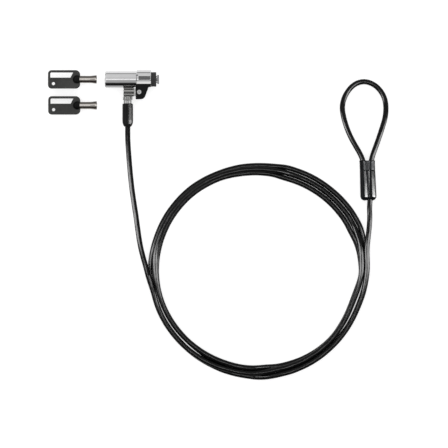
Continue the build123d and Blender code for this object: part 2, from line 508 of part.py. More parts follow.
bar = box(TBAR_X0, TBAR_X1, LOCK_Y - TBAR_HALF_LONG, LOCK_Y + TBAR_HALF_LONG,
          LOCK_Z - TBAR_HALF_SHORT, LOCK_Z + TBAR_HALF_SHORT)
bar = fillet(bar.edges().filter_by(Axis.X), 0.6)
bar = chamfer(bar.faces().sort_by(Axis.X)[-1].edges(), 0.25)
tbar = bar + rod_x(-77.35, TBAR_X0 + 0.2, SPINDLE_R) + rod_x(-80.1, -77.3, 0.92)
save(tbar - cross_hole, "t_bar")
save(rod_y(LOCK_Y - 1.3, LOCK_Y + 1.3, TBAR_PIN_R, TBAR_PIN_X, LOCK_Z), "t_bar_pin")

# Key pins, cut to different lengths to suit the key's end.
KEY_PIN_R = 0.45
key_pins = []
for (y, z), depth in zip(pin_places(), BITTING):
    rear = -109.25 - depth
    key_pins.append(turned_x([
        (rear, 0), (rear, 0.32), (rear + 0.12, KEY_PIN_R), (-105.33, KEY_PIN_R),
        (-105.25, 0.37), (-105.25, 0),
    ], y, z).solid())
save(Compound(children=key_pins), "key_pins")

# ---------------------------------------------------------------- keys
KEY_TIP_X = -121.3
BOW_X0 = -157.8
BOW_X1 = -133.7
BOW_HALF_Y = 6.9
BOW_HALF_Z = 1.0
BOW_RIM_HALF_Z = 1.25
BOW_CORNER_R0 = 2.6     # corners at the -X end
BOW_CORNER_R1 = 3.4     # corners at the +X end
BOW_WINDOW = [(-156.1, 1.3), (-140.95, 1.3), (-138.95, 5.15), (-155.5, 5.15), (-156.1, 4.6)]
RING_HOLE_X = -153.75
RING_HOLE_DROP = 3.2    # from the key axis towards -Y
RING_HOLE_R = 1.2
RING_RIM_R = 2.0
BALL_X = -136.05
BALL_R = 3.3
TUBE_R = 2.65
FLARE_R = 3.08
TUBE_BORE_R = 1.93
KEY_PLACES = [(LOCK_Y, LOCK_Z), (125.4, 3.65)]      # (y, z) of each key's tube


def bow_outline():
    """The bow's (x, y) outline about the key axis, with rounded corners."""
    left, right = BOW_X0 + BOW_CORNER_R0, BOW_X1 - BOW_CORNER_R1
    y_left, y_right = BOW_HALF_Y - BOW_CORNER_R0, BOW_HALF_Y - BOW_CORNER_R1
    points = []
    for x, y, radius, first_angle in (
        (right, y_right, BOW_CORNER_R1, 0), (left, y_left, BOW_CORNER_R0, 90),
        (left, -y_left, BOW_CORNER_R0, 180), (right, -y_right, BOW_CORNER_R1, 270),
    ):
        for k in range(7):
            angle = math.radians(first_angle + 15 * k)
            points.append((x + radius * math.cos(angle), y + radius * math.sin(angle)))
    return points


def key_bow(y, z):
    """Flat plate with a long slanted window and a ring hole; the bar round the window and
    the rim of the ring hole stand proud of the plate."""
    bow = plate_xy(bow_outline(), z - BOW_HALF_Z, z + BOW_HALF_Z, y)
    rim = plate_xy(bow_outline(), z - BOW_RIM_HALF_Z, z + BOW_RIM_HALF_Z, y)
    bow = bow + (rim & box(BOW_X0 - 1, -133.0, y + 0.25, y + 8, z - 2, z + 2))
    ring_y = y - RING_HOLE_DROP
    bow = bow + rod_z(z - BOW_RIM_HALF_Z, z + BOW_RIM_HALF_Z, RING_RIM_R, RING_HOLE_X, ring_y)
    bow = bow - plate_xy(BOW_WINDOW, z - 3, z + 3, y)
    bow = bow - rod_z(z - 3, z + 3, RING_HOLE_R, RING_HOLE_X, ring_y)
    bow = bow - Pos(BALL_X, y, z) * Sphere(BALL_R + 0.02)
    bow = bow - rod_x(-136.0, -133.0, TUBE_R + 0.03, y, z)
    # Fine ruled lines on both faces, cut short where they would meet the ring hole's rim.
    for k in range(7):
        line_y = y - 0.9 - 0.72 * k
        line_x = -155.6 if abs(line_y - ring_y) > 2.1 else -151.4
        for line_z in (z + 0.94, z - 1.06):
            bow = bow - box(line_x, -140.2, line_y - 0.09, line_y + 0.09, line_z, line_z + 0.12)
    return largest(bow)


def key_boss(y, z):
    """Ball that grips the root of the tube."""
    angles = [math.radians(10.5 * k) for k in range(12)]
    ball = [(BALL_X - BALL_R * math.cos(a), BALL_R * math.sin(a)) for a in angles]
    return turned_x(ball + [
        (-134.11, TUBE_R + 0.02), (-134.60, TUBE_R + 0.02), (-134.60, 1.62), (-137.20, 1.62),
        (-137.20, 0),
    ], y, z)


def key_tube(y, z):
    """Hollow nose with end cuts for the pins, slightly flared mouth and one lug at -Z."""
    tube = turned_x([
        (-137.15, 0), (-137.15, 1.6), (-134.58, 1.6), (-134.58, TUBE_R), (-126.2, TUBE_R),
        (-124.6, 2.78), (-122.6, FLARE_R), (-121.45, FLARE_R), (KEY_TIP_X, 2.95),
        (KEY_TIP_X, TUBE_BORE_R + 0.1), (-121.5, TUBE_BORE_R), (-130.4, TUBE_BORE_R), (-130.4, 0),
    ], y, z)
    for (pin_y, pin_z), depth in zip(pin_places(y, z), BITTING):
        tube = tube - rod_x(KEY_TIP_X - depth, KEY_TIP_X + 1, 0.6, pin_y, pin_z)
    return tube + box(-124.7, -123.3, y - 0.7, y + 0.7, z - 3.6, z - 2.4)


for index, (y, z) in enumerate(KEY_PLACES, start=1):
    save(key_bow(y, z), "key_%d_bow" % index)
    save(key_boss(y, z), "key_%d_boss" % index)
    save(key_tube(y, z), "key_%d_tube" % index)

# ---------------------------------------------------------------- loop sleeve
SLEEVE_Y0 = 53.95
SLEEVE_Y1 = 84.1
SLEEVE_Z = 4.0
FOOT_X = 82.45
FOOT_Y = SLEEVE_Y0 + 1.6        # widest section
CRIMP_Y0 = 62.0
CRIMP_Y1 = 73.5


def oval_at(y, x, apart, radius):
    """An oval face across the sleeve: two round ends, their centres apart."""
    plane = Plane(origin=(x, y, SLEEVE_Z), z_dir=(0, 1, 0), x_dir=(1, 0, 0))
    return plane * SlotCenterToCenter(apart, 2 * radius)


def crimp_bar(extra):
    face = oval_at(CRIMP_Y0 - extra, 81.85, 4.55, 2.62 + extra)
    return extrude(face, amount=CRIMP_Y1 - CRIMP_Y0 + 2 * extra, dir=(0, 1, 0))


sleeve = loft([oval_at(FOOT_Y, FOOT_X, 5.35, 3.45), oval_at(SLEEVE_Y1, 81.51, 5.78, 2.85)])
sleeve = sleeve + loft([
    oval_at(SLEEVE_Y0, FOOT_X, 5.0, 2.65), oval_at(FOOT_Y, FOOT_X, 5.35, 3.45),
])
channel = tube_along(TAIL_PATH, CABLE_R + 0.05, END_PITCH)
save(largest(sleeve - crimp_bar(0.03) - channel), "loop_sleeve")

# Aluminium double crimp round both strands, in a closed cavity of the sleeve.
save(largest(crimp_bar(0.0) - channel), "loop_crimp")
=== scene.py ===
# A cable lock lying flat on a table, Z up, seen from straight above with +Y at the top.
# The cable is coiled round the origin. Its lead end runs up to the lock near x -98, y 127,
# and its tail turns back on itself near x 80, y 143, held by a sleeve. Sizes are in mm.
import json
import math

import bpy
import numpy as np
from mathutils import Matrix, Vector


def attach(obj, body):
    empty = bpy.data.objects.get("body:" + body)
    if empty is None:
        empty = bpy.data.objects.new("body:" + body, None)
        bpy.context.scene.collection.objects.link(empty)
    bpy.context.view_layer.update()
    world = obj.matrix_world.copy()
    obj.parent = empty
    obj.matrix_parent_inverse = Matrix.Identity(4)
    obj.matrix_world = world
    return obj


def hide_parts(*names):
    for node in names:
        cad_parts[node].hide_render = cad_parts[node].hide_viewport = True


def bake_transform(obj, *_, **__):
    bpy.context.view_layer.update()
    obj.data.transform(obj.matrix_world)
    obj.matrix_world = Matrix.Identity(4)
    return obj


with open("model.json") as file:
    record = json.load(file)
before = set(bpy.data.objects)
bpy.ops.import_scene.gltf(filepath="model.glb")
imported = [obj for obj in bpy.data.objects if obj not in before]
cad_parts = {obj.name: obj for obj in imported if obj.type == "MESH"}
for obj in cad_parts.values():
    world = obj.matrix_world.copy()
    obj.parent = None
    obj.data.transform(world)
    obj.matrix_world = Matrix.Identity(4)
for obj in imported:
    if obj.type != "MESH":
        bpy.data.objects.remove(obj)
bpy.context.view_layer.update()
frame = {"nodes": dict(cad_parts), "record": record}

MM = 0.001
nodes = frame["nodes"]

CABLE_RADIUS = 1.975
ROPE_LAY = 13.0          # cable length for one turn of a strand
STRANDS = 6
LOCK_Z = 7.20            # height of the lock's long axis and of the neck
LOCK_AXIS_Y = 144.8

# ------------------------------------------------------------------ cable centre line
# Each point is x, y, z. Neighbouring paths share their end point.
LEAD_PATH = [
    (-98.05, 127.45, 7.20), (-98.05, 121.40, 7.20), (-98.05, 115.40, 7.20),
    (-98.05, 109.35, 7.20), (-97.99, 100.04, 7.20), (-97.45, 90.74, 7.20),
    (-96.73, 81.45, 7.14), (-95.90, 72.17, 7.07), (-94.88, 62.91, 7.00), (-93.59, 53.69, 6.92),
    (-92.17, 44.48, 6.81), (-90.88, 35.26, 6.68), (-89.61, 26.03, 6.53), (-87.90, 16.88, 6.38),
]

COIL_PATH = [
    (-87.90, 16.88, 6.38), (-86.21, 10.33, 6.28), (-84.40, 3.82, 6.23), (-82.69, -2.72, 6.22),
    (-80.67, -9.16, 5.99), (-78.63, -15.60, 6.05), (-76.80, -22.10, 6.05),
    (-74.50, -28.46, 6.05), (-71.57, -34.54, 6.05), (-68.11, -40.34, 6.05),
    (-64.14, -45.81, 6.05), (-59.73, -50.94, 6.05), (-54.94, -55.70, 6.05),
    (-49.74, -60.02, 6.04), (-44.15, -63.82, 6.02), (-38.25, -67.10, 5.97),
    (-32.07, -69.85, 5.88), (-25.68, -72.01, 5.69), (-19.13, -73.68, 5.52),
    (-12.51, -75.05, 5.54), (-5.78, -75.64, 5.74), (0.96, -75.28, 6.01), (7.62, -74.17, 5.93),
    (14.22, -72.76, 5.63), (20.78, -71.12, 5.50), (27.17, -68.96, 5.61), (33.33, -66.16, 5.78),
    (39.22, -62.86, 5.89), (44.79, -59.03, 5.97), (50.00, -54.74, 6.01), (54.75, -49.93, 6.03),
    (58.99, -44.67, 6.04), (62.76, -39.06, 6.03), (66.07, -33.17, 6.03), (68.86, -27.01, 6.02),
    (71.40, -20.75, 6.01), (73.84, -14.45, 6.00), (75.83, -7.99, 6.04), (77.13, -1.36, 6.06),
    (77.51, 5.38, 6.04), (77.34, 12.14, 5.90), (76.83, 18.86, 5.46), (75.50, 25.41, 4.51),
    (73.22, 31.53, 2.79), (70.29, 37.53, 2.00), (66.79, 43.30, 2.00), (62.65, 48.65, 2.00),
    (58.08, 53.62, 2.00), (53.09, 58.18, 2.00), (47.76, 62.34, 2.00), (42.08, 66.00, 2.00),
    (36.11, 69.16, 2.00), (29.89, 71.80, 2.00), (23.49, 73.97, 2.02), (17.16, 75.60, 3.63),
    (10.60, 76.74, 4.68), (3.87, 77.39, 4.93), (-2.88, 77.50, 5.06), (-9.63, 77.09, 5.08),
    (-16.32, 76.16, 5.18), (-22.91, 74.70, 5.35), (-29.35, 72.65, 5.50), (-35.58, 70.02, 5.52),
    (-41.56, 66.89, 5.52), (-47.27, 63.26, 5.52), (-52.56, 59.06, 5.52), (-57.42, 54.37, 5.52),
    (-61.86, 49.27, 5.52), (-65.86, 43.83, 5.50), (-69.35, 38.04, 5.47), (-72.31, 31.96, 5.47),
    (-74.75, 25.66, 5.49), (-76.53, 19.15, 5.54), (-77.46, 12.46, 5.73), (-77.59, 5.71, 5.92),
    (-77.15, -1.04, 6.02), (-76.26, -7.73, 6.05), (-74.78, -14.33, 6.05),
    (-72.90, -20.82, 6.06), (-70.41, -27.10, 6.06), (-67.35, -33.13, 6.06),
    (-63.77, -38.86, 6.06), (-59.68, -44.24, 6.06), (-55.11, -49.21, 6.05),
    (-50.08, -53.73, 6.05), (-44.70, -57.81, 6.01), (-39.00, -61.44, 5.94),
    (-32.99, -64.54, 5.83), (-26.74, -67.11, 5.68), (-20.32, -69.19, 5.58),
    (-13.74, -70.73, 5.50), (-7.03, -71.53, 5.27), (-0.32, -71.53, 4.56), (6.08, -71.03, 2.48),
    (12.78, -70.64, 2.00), (19.42, -69.39, 2.00), (25.92, -67.54, 2.00), (32.25, -65.16, 2.00),
    (38.31, -62.19, 2.00), (44.07, -58.64, 2.00), (49.43, -54.53, 2.00), (54.34, -49.89, 2.00),
    (58.63, -44.67, 2.00), (62.31, -39.00, 2.00), (65.58, -33.09, 2.00), (68.33, -26.92, 2.00),
    (70.76, -20.61, 2.00), (73.13, -14.28, 2.00), (75.45, -7.93, 2.00), (77.06, -1.39, 2.00),
    (77.04, 5.37, 2.00), (76.19, 12.07, 2.00), (74.68, 18.66, 2.00), (72.23, 24.94, 2.00),
    (69.11, 30.94, 2.00), (66.02, 36.95, 2.00), (62.30, 42.59, 2.00), (58.00, 47.81, 2.00),
    (53.29, 52.64, 2.00), (48.14, 57.02, 2.00), (42.61, 60.91, 2.00), (36.77, 64.31, 2.00),
    (30.65, 67.18, 2.00), (24.31, 69.50, 2.00), (17.84, 71.47, 2.00), (11.39, 73.46, 2.00),
    (4.71, 74.48, 2.00), (-2.04, 74.86, 2.00), (-8.79, 74.58, 2.00), (-15.50, 73.80, 2.00),
    (-22.15, 72.57, 2.00), (-28.64, 70.71, 2.00), (-34.87, 68.09, 2.00), (-40.85, 64.94, 2.00),
    (-46.53, 61.29, 2.00), (-51.80, 57.05, 2.00), (-56.62, 52.32, 2.00), (-61.00, 47.17, 2.00),
    (-64.91, 41.66, 2.00), (-68.25, 35.78, 2.00), (-71.06, 29.64, 2.00), (-73.34, 23.28, 2.00),
    (-75.03, 16.74, 2.00), (-76.15, 10.07, 2.00), (-76.59, 3.33, 2.00), (-76.45, -3.43, 2.00),
    (-75.65, -10.14, 2.00), (-74.18, -16.73, 2.00), (-72.08, -23.15, 2.00),
    (-69.36, -29.34, 2.00), (-66.10, -35.26, 2.00), (-62.31, -40.85, 2.00),
    (-58.04, -46.09, 2.00), (-53.40, -51.00, 2.00), (-48.41, -55.57, 2.00),
    (-43.13, -59.78, 2.00), (-37.50, -63.51, 2.00), (-31.59, -66.79, 2.00),
    (-25.40, -69.51, 2.00), (-18.96, -71.56, 2.00), (-12.37, -73.05, 2.00),
    (-5.69, -74.06, 2.00), (1.03, -74.75, 2.00), (7.79, -75.02, 2.00), (14.52, -74.49, 2.00),
    (21.14, -73.15, 2.00), (27.62, -71.23, 2.00), (33.93, -68.81, 2.00), (40.02, -65.87, 2.00),
    (45.80, -62.39, 2.00), (51.21, -58.33, 2.00), (56.20, -53.78, 2.00), (60.83, -48.85, 2.00),
    (64.99, -43.53, 2.00), (68.65, -37.85, 2.00), (71.80, -31.87, 2.00), (74.51, -25.68, 2.00),
    (76.96, -19.38, 2.00), (78.97, -12.93, 2.00), (80.44, -6.33, 2.00), (81.27, 0.37, 2.00),
    (81.28, 7.13, 2.00), (80.74, 13.86, 2.00), (79.74, 20.55, 2.00), (78.43, 27.18, 2.00),
    (76.63, 33.68, 2.00), (73.66, 39.75, 2.00), (70.15, 45.52, 2.00), (66.06, 50.90, 2.00),
    (61.53, 55.91, 2.00), (56.57, 60.50, 2.00), (51.30, 64.73, 2.00), (45.71, 68.53, 2.00),
    (39.83, 71.86, 2.00), (33.68, 74.67, 2.00), (27.33, 76.97, 2.00), (20.82, 78.80, 2.00),
    (14.11, 79.53, 2.00), (7.37, 80.05, 2.00), (0.62, 80.25, 2.00), (-6.14, 80.03, 2.00),
    (-12.86, 79.33, 2.00), (-19.47, 77.95, 2.00), (-25.95, 76.03, 2.00), (-32.27, 73.63, 2.00),
    (-38.43, 70.85, 2.00), (-44.35, 67.59, 2.00), (-49.96, 63.82, 2.00), (-55.14, 59.48, 2.00),
    (-59.90, 54.69, 2.00), (-64.26, 49.53, 2.00), (-68.20, 44.03, 2.00), (-71.59, 38.19, 2.00),
    (-74.45, 32.07, 2.00), (-76.84, 25.74, 2.00), (-78.76, 19.27, 2.00), (-80.17, 12.66, 2.00),
    (-81.00, 5.95, 2.00), (-81.19, -0.80, 2.00), (-80.32, -7.50, 2.00), (-79.00, -14.13, 2.00),
    (-77.28, -20.66, 2.00), (-75.08, -27.05, 2.00), (-72.28, -33.20, 2.00),
    (-68.93, -39.07, 2.00), (-65.05, -44.60, 2.00), (-60.75, -49.81, 2.00),
    (-56.11, -54.74, 2.00), (-51.11, -59.28, 2.00), (-45.72, -63.36, 2.00),
    (-40.01, -66.97, 2.00), (-34.04, -70.14, 2.00), (-27.88, -72.90, 2.00),
    (-21.46, -75.03, 2.00), (-14.90, -76.66, 2.00), (-8.24, -77.81, 2.00),
    (-1.54, -78.59, 2.21), (4.92, -78.44, 4.14), (11.53, -77.45, 5.08), (18.11, -75.97, 5.43),
    (24.63, -74.18, 5.53), (30.92, -71.73, 5.68), (37.02, -68.82, 5.81), (42.84, -65.38, 5.92),
    (48.32, -61.44, 5.99), (53.45, -57.04, 6.02), (58.26, -52.29, 6.03), (62.64, -47.14, 6.05),
    (66.55, -41.63, 6.05), (69.99, -35.81, 6.06), (72.97, -29.75, 6.06), (75.59, -23.52, 6.06),
    (77.93, -17.18, 6.06), (79.68, -10.65, 6.06), (80.87, -4.00, 6.06), (81.52, 2.73, 6.06),
    (81.50, 9.48, 6.05), (81.31, 16.24, 6.00), (81.80, 22.98, 5.96), (82.60, 29.67, 5.68),
    (83.21, 36.37, 5.18),
]

TAIL_PATH = [
    (83.21, 36.37, 5.18), (83.47, 42.95, 4.70), (83.35, 48.20, 4.40), (83.66, 53.90, 4.05),
    (83.85, 62.00, 4.00), (84.30, 73.00, 4.00), (84.78, 84.10, 4.00), (87.23, 92.32, 3.90),
    (90.08, 100.20, 3.65), (92.92, 108.82, 3.28), (95.10, 116.70, 2.90), (95.70, 123.15, 2.61),
    (94.95, 129.60, 2.36), (91.88, 136.05, 2.18), (86.48, 141.07, 2.11), (79.27, 143.25, 2.10),
    (72.15, 141.07, 2.11), (67.42, 136.43, 2.17), (64.20, 130.35, 2.33), (63.00, 123.90, 2.58),
    (63.52, 118.88, 2.80), (65.33, 111.68, 3.15), (68.92, 102.38, 3.57), (73.58, 93.75, 3.86),
    (78.25, 84.10, 4.00), (79.30, 76.50, 4.00), (79.60, 68.50, 4.00), (79.65, 57.60, 4.00),
]


# ------------------------------------------------------------------ shader graphs
class Graph:
    """Short ways to add nodes to a node tree. Values may be numbers, RGB or sockets."""

    def __init__(self, tree):
        self.tree = tree

    def node(self, kind):
        return self.tree.nodes.new(kind)

    def feed(self, socket, value):
        if isinstance(value, (int, float)):
            socket.default_value = value
        elif isinstance(value, tuple):
            socket.default_value = (*value, 1)
        else:
            self.tree.links.new(value, socket)

    def math(self, operation, *values):
        node = self.node("ShaderNodeMath")
        node.operation = operation
        for socket, value in zip(node.inputs, values):
            self.feed(socket, value)
        return node.outputs[0]

    def add(self, a, b):
        return self.math("ADD", a, b)

    def multiply(self, a, b):
        return self.math("MULTIPLY", a, b)

    def span(self, value, within, to=(0.0, 1.0), interpolation="LINEAR"):
        """The range `within` mapped onto `to`, clamped."""
        node = self.node("ShaderNodeMapRange")
        node.interpolation_type = interpolation
        node.clamp = True
        self.feed(node.inputs["Value"], value)
        for prefix, (low, high) in (("From", within), ("To", to)):
            node.inputs[f"{prefix} Min"].default_value = low
            node.inputs[f"{prefix} Max"].default_value = high
        return node.outputs["Result"]

    def axes(self, vector):
        node = self.node("ShaderNodeSeparateXYZ")
        self.feed(node.inputs["Vector"], vector)
        return node.outputs

    def choose(self, fac, first, second):
        """A shader mix: `first` where fac is 0, `second` where it is 1."""
        node = self.node("ShaderNodeMixShader")
        for socket, value in zip(node.inputs, (fac, first, second)):
            self.feed(socket, value)
        return node.outputs["Shader"]


class Surface(Graph):
    """A material built round its Principled shader."""

    def __init__(self, name):
        self.material = bpy.data.materials.new(name)
        self.material.use_nodes = True
        super().__init__(self.material.node_tree)
        self.shader = next(n for n in self.tree.nodes if n.type == "BSDF_PRINCIPLED")
        self.coord = self.node("ShaderNodeTexCoord")

    def mapped(self, scale=(1, 1, 1)):
        node = self.node("ShaderNodeMapping")
        node.inputs["Scale"].default_value = scale
        self.feed(node.inputs["Vector"], self.coord.outputs["Object"])
        return node.outputs["Vector"]

    def noise(self, scale, detail=4.0, rough=0.55, stretch=(1, 1, 1)):
        node = self.node("ShaderNodeTexNoise")
        node.inputs["Scale"].default_value = scale
        node.inputs["Detail"].default_value = detail
        node.inputs["Roughness"].default_value = rough
        self.feed(node.inputs["Vector"], self.mapped(stretch))
        return node.outputs["Fac"]

    def mix(self, fac, a, b, blend="MIX"):
        node = self.node("ShaderNodeMix")
        node.data_type = "RGBA"
        node.blend_type = blend
        colours = [s for s in node.inputs if s.type == "RGBA"]
        for socket, value in zip([node.inputs[0], *colours], (fac, a, b)):
            self.feed(socket, value)
        return next(s for s in node.outputs if s.type == "RGBA")

    def clouds(self, a, b, scale, detail, within=(0.35, 0.65)):
        """Two tints in soft patches."""
        return self.mix(self.span(self.noise(scale, detail), within), a, b)

    def uneven_gloss(self, scale, detail, to):
        return self.span(self.noise(scale, detail, rough=0.6), within=(0.3, 0.7), to=to)

    def bevel(self, radius_mm):
        node = self.node("ShaderNodeBevel")
        node.samples = 4
        node.inputs["Radius"].default_value = radius_mm * MM
        return node.outputs["Normal"]

    def edge(self, radius_mm):
        """1 near an edge, 0 on open faces: where the rounded normal leaves the true one."""
        geometry = self.node("ShaderNodeNewGeometry")
        dot = self.node("ShaderNodeVectorMath")
        dot.operation = "DOT_PRODUCT"
        self.feed(dot.inputs[0], self.bevel(radius_mm))
        self.feed(dot.inputs[1], geometry.outputs["Normal"])
        return self.span(dot.outputs["Value"], within=(0.93, 1.0), to=(1.0, 0.0))

    def bump(self, height, distance_mm, strength, normal=None):
        node = self.node("ShaderNodeBump")
        node.inputs["Strength"].default_value = strength
        node.inputs["Distance"].default_value = distance_mm * MM
        self.feed(node.inputs["Height"], height)
        if normal is not None:
            self.feed(node.inputs["Normal"], normal)
        return node.outputs["Normal"]

    def base_colour(self):
        """The socket that now feeds the base colour."""
        return self.shader.inputs["Base Color"].links[0].from_socket

    def set(self, **values):
        for name, value in values.items():
            self.feed(self.shader.inputs[name.replace("_", " ")], value)
        return self


# ------------------------------------------------------------------ material kinds
def metal(name, base, dark, rough, spread, grain, grain_scale, round_mm, grain_mm):
    """Clouded tint, uneven polish, fine grain, small scratches and softened edges."""
    mat = Surface(name)
    colour = mat.clouds(base, dark, scale=55, detail=3, within=(0.38, 0.66))
    grime = mat.noise(scale=260, detail=6, rough=0.7)
    grime_tint = tuple(c * 0.45 for c in dark)
    colour = mat.mix(mat.span(grime, within=(0.60, 0.78), to=(0.0, 0.35)), colour, grime_tint)
    fine = mat.noise(grain_scale, detail=2, rough=0.5, stretch=grain)
    scratch = mat.noise(scale=5200, detail=1, rough=0.4, stretch=(0.05, 1, 1))
    polish = mat.uneven_gloss(scale=170, detail=5, to=(rough, rough + spread))
    roughness = mat.add(polish, mat.span(grime, within=(0.58, 0.8), to=(0.0, 0.14)))
    scratch_depth = -0.8
    scratches = mat.multiply(mat.span(scratch, within=(0.66, 0.74)), scratch_depth)
    height = mat.add(fine, scratches)
    normal = mat.bump(height, grain_mm, strength=0.6, normal=mat.bevel(round_mm))
    return mat.set(Base_Color=colour, Metallic=1.0, Roughness=roughness, Normal=normal)


def plastic(name, base, worn, rough, spread, texture_scale, texture_mm, spec, round_mm, wear):
    """Mould texture, uneven gloss, dust, and edges rubbed lighter."""
    mat = Surface(name)
    colour = mat.clouds(base, tuple(c * 1.35 + 0.002 for c in base), scale=70, detail=4)
    dust = mat.noise(scale=1900, detail=3, rough=0.7)
    dust_tint = (0.22, 0.22, 0.21)
    colour = mat.mix(mat.span(dust, within=(0.66, 0.80), to=(0.0, 0.22)), colour, dust_tint)
    patches = mat.noise(scale=420, detail=5, rough=0.65)
    rub = mat.multiply(
        mat.edge(round_mm * 1.6), mat.span(patches, within=(0.42, 0.62), to=(0.0, wear)))
    colour = mat.mix(rub, colour, worn)
    rub_roughness = 0.15
    gloss = mat.uneven_gloss(scale=210, detail=5, to=(rough, rough + spread))
    roughness = mat.add(gloss, mat.multiply(rub, rub_roughness))
    texture = mat.noise(texture_scale, detail=3, rough=0.6)
    normal = mat.bump(texture, texture_mm, strength=0.7, normal=mat.bevel(round_mm))
    return mat.set(
        Base_Color=colour, Roughness=roughness, Normal=normal, Specular_IOR_Level=spec)


def vinyl(name):
    """Black vinyl tight on wire rope: the lay shows as slanting ridges under a satin skin."""
    mat = Surface(name)
    around, along = mat.axes(mat.coord.outputs["UV"])[:2]
    phase = mat.add(mat.multiply(around, float(STRANDS)), along)
    ridges = mat.span(mat.math("SINE", mat.multiply(phase, 2 * math.pi)), within=(-1.0, 1.0))
    scuff = mat.noise(scale=900, detail=5, rough=0.7)
    ridge_tint, ridge_share = (0.0050, 0.0050, 0.0052), 0.4
    scuff_tint = (0.05, 0.05, 0.05)
    colour = mat.clouds((0.0016, 0.0016, 0.0017), (0.0030, 0.0030, 0.0031), scale=48, detail=3)
    colour = mat.mix(mat.multiply(ridges, ridge_share), colour, ridge_tint)
    colour = mat.mix(mat.span(scuff, within=(0.66, 0.82), to=(0.0, 0.22)), colour, scuff_tint)
    gloss = mat.uneven_gloss(scale=130, detail=4, to=(0.11, 0.24))
    roughness = mat.add(gloss, mat.span(scuff, within=(0.62, 0.8), to=(0.0, 0.2)))
    skin = mat.noise(scale=650, detail=4, rough=0.6)
    wobble = mat.noise(scale=55, detail=2, rough=0.5)
    normal = mat.bump(ridges, distance_mm=0.035, strength=0.75)
    normal = mat.bump(skin, distance_mm=0.006, strength=0.5, normal=normal)
    normal = mat.bump(wobble, distance_mm=0.09, strength=0.45, normal=normal)
    return mat.set(
        Base_Color=colour, Roughness=roughness, Normal=normal, Specular_IOR_Level=0.13)


def gloss_sleeve(name):
    """Glossy blue-black moulding, matt towards its +Y end."""
    mat = Surface(name)
    y = mat.axes(mat.coord.outputs["Object"])["Y"]
    band = mat.span(y, within=(76.6 * MM, 77.4 * MM))
    colour = mat.clouds((0.0022, 0.0027, 0.0036), (0.0036, 0.0044, 0.0058), scale=60, detail=3)
    scuff = mat.noise(scale=1300, detail=5, rough=0.7)
    scuff_tint = (0.06, 0.063, 0.066)
    colour = mat.mix(mat.span(scuff, within=(0.66, 0.82), to=(0.0, 0.3)), colour, scuff_tint)
    band_roughness = 0.30
    gloss = mat.uneven_gloss(scale=140, detail=4, to=(0.10, 0.18))
    roughness = mat.add(gloss, mat.multiply(band, band_roughness))
    wobble = mat.noise(scale=85, detail=2, rough=0.5)
    skin = mat.noise(scale=1500, detail=3, rough=0.6)
    normal = mat.bump(wobble, distance_mm=0.05, strength=0.35)
    normal = mat.bump(skin, distance_mm=0.004, strength=0.35, normal=normal)
    specular = mat.span(band, within=(0.0, 1.0), to=(0.22, 0.10))
    return mat.set(
        Base_Color=colour, Roughness=roughness, Normal=normal, Specular_IOR_Level=specular)


# ------------------------------------------------------------------ material tables
CHROME_FINISH = ((0.92, 0.92, 0.925), (0.86, 0.86, 0.87),
                 0.030, 0.035, (0.06, 1, 1), 2600, 0.10, 0.0012)

# tint, darker tint,
# roughness, its spread, grain stretch, grain scale, edge rounding mm, grain depth mm
METALS = {
    "chrome": CHROME_FINISH,
    "nickel": ((0.80, 0.80, 0.795), (0.68, 0.68, 0.675),
               0.14, 0.08, (1, 0.08, 1), 2400, 0.08, 0.003),
    "key_nickel": ((0.93, 0.90, 0.87), (0.84, 0.80, 0.76),
                   0.13, 0.09, (0.05, 1, 1), 2600, 0.08, 0.004),
    "neck_nickel": ((0.80, 0.79, 0.775), (0.70, 0.69, 0.67),
                    0.15, 0.08, (0.08, 1, 1), 2400, 0.08, 0.004),
    "rivet_nickel": ((0.72, 0.72, 0.715), (0.60, 0.60, 0.595),
                     0.20, 0.08, (1, 1, 1), 2400, 0.08, 0.004),
    "collar_nickel": ((0.66, 0.655, 0.645), (0.52, 0.515, 0.505),
                      0.18, 0.08, (1, 0.08, 1), 2400, 0.08, 0.004),
    "hood_plate": CHROME_FINISH,
    "steel": ((0.56, 0.56, 0.565), (0.44, 0.44, 0.45),
              0.24, 0.12, (1, 0.1, 1), 2000, 0.06, 0.004),
    "hardened_steel": ((0.50, 0.50, 0.51), (0.36, 0.36, 0.375),
                       0.26, 0.12, (0.2, 1, 0.2), 2000, 0.12, 0.005),
    "brass": ((0.80, 0.62, 0.30), (0.62, 0.45, 0.20),
              0.20, 0.12, (0.08, 1, 1), 2200, 0.06, 0.004),
    "aluminium": ((0.78, 0.79, 0.80), (0.64, 0.65, 0.67),
                  0.32, 0.12, (1, 1, 1), 1500, 0.1, 0.008),
    "wire_rope": ((0.60, 0.60, 0.61), (0.42, 0.42, 0.43),
                  0.30, 0.15, (1, 1, 1), 1800, 0.1, 0.01),
}

# tint, worn tint,
# roughness, its spread, texture scale, texture depth mm, specular, edge rounding mm, wear
PLASTICS = {
    "black_bracket": ((0.0022, 0.0022, 0.0023), (0.05, 0.05, 0.051),
                      0.42, 0.14, 1300, 0.018, 0.16, 0.14, 0.30),
    "boot_plastic": ((0.0040, 0.0040, 0.0042), (0.03, 0.03, 0.03),
                     0.20, 0.08, 700, 0.003, 0.20, 0.2, 0.2),
    "gasket_rubber": ((0.024, 0.024, 0.025), (0.09, 0.09, 0.09),
                      0.62, 0.15, 1700, 0.020, 0.3, 0.08, 0.4),
    "key_plastic": ((0.030, 0.030, 0.029), (0.085, 0.085, 0.083),
                    0.46, 0.14, 1500, 0.012, 0.22, 0.14, 0.40),
    "key_boss": ((0.0020, 0.0020, 0.0020), (0.03, 0.03, 0.03),
                 0.30, 0.12, 1100, 0.010, 0.14, 0.14, 0.2),
    "washer_plastic": ((0.72, 0.70, 0.64), (0.80, 0.78, 0.73),
                       0.45, 0.12, 900, 0.01, 0.4, 0.05, 0.3),
    "slot_inset": ((0.075, 0.075, 0.077), (0.16, 0.16, 0.16),
                   0.34, 0.14, 1500, 0.012, 0.35, 0.1, 0.4),
}

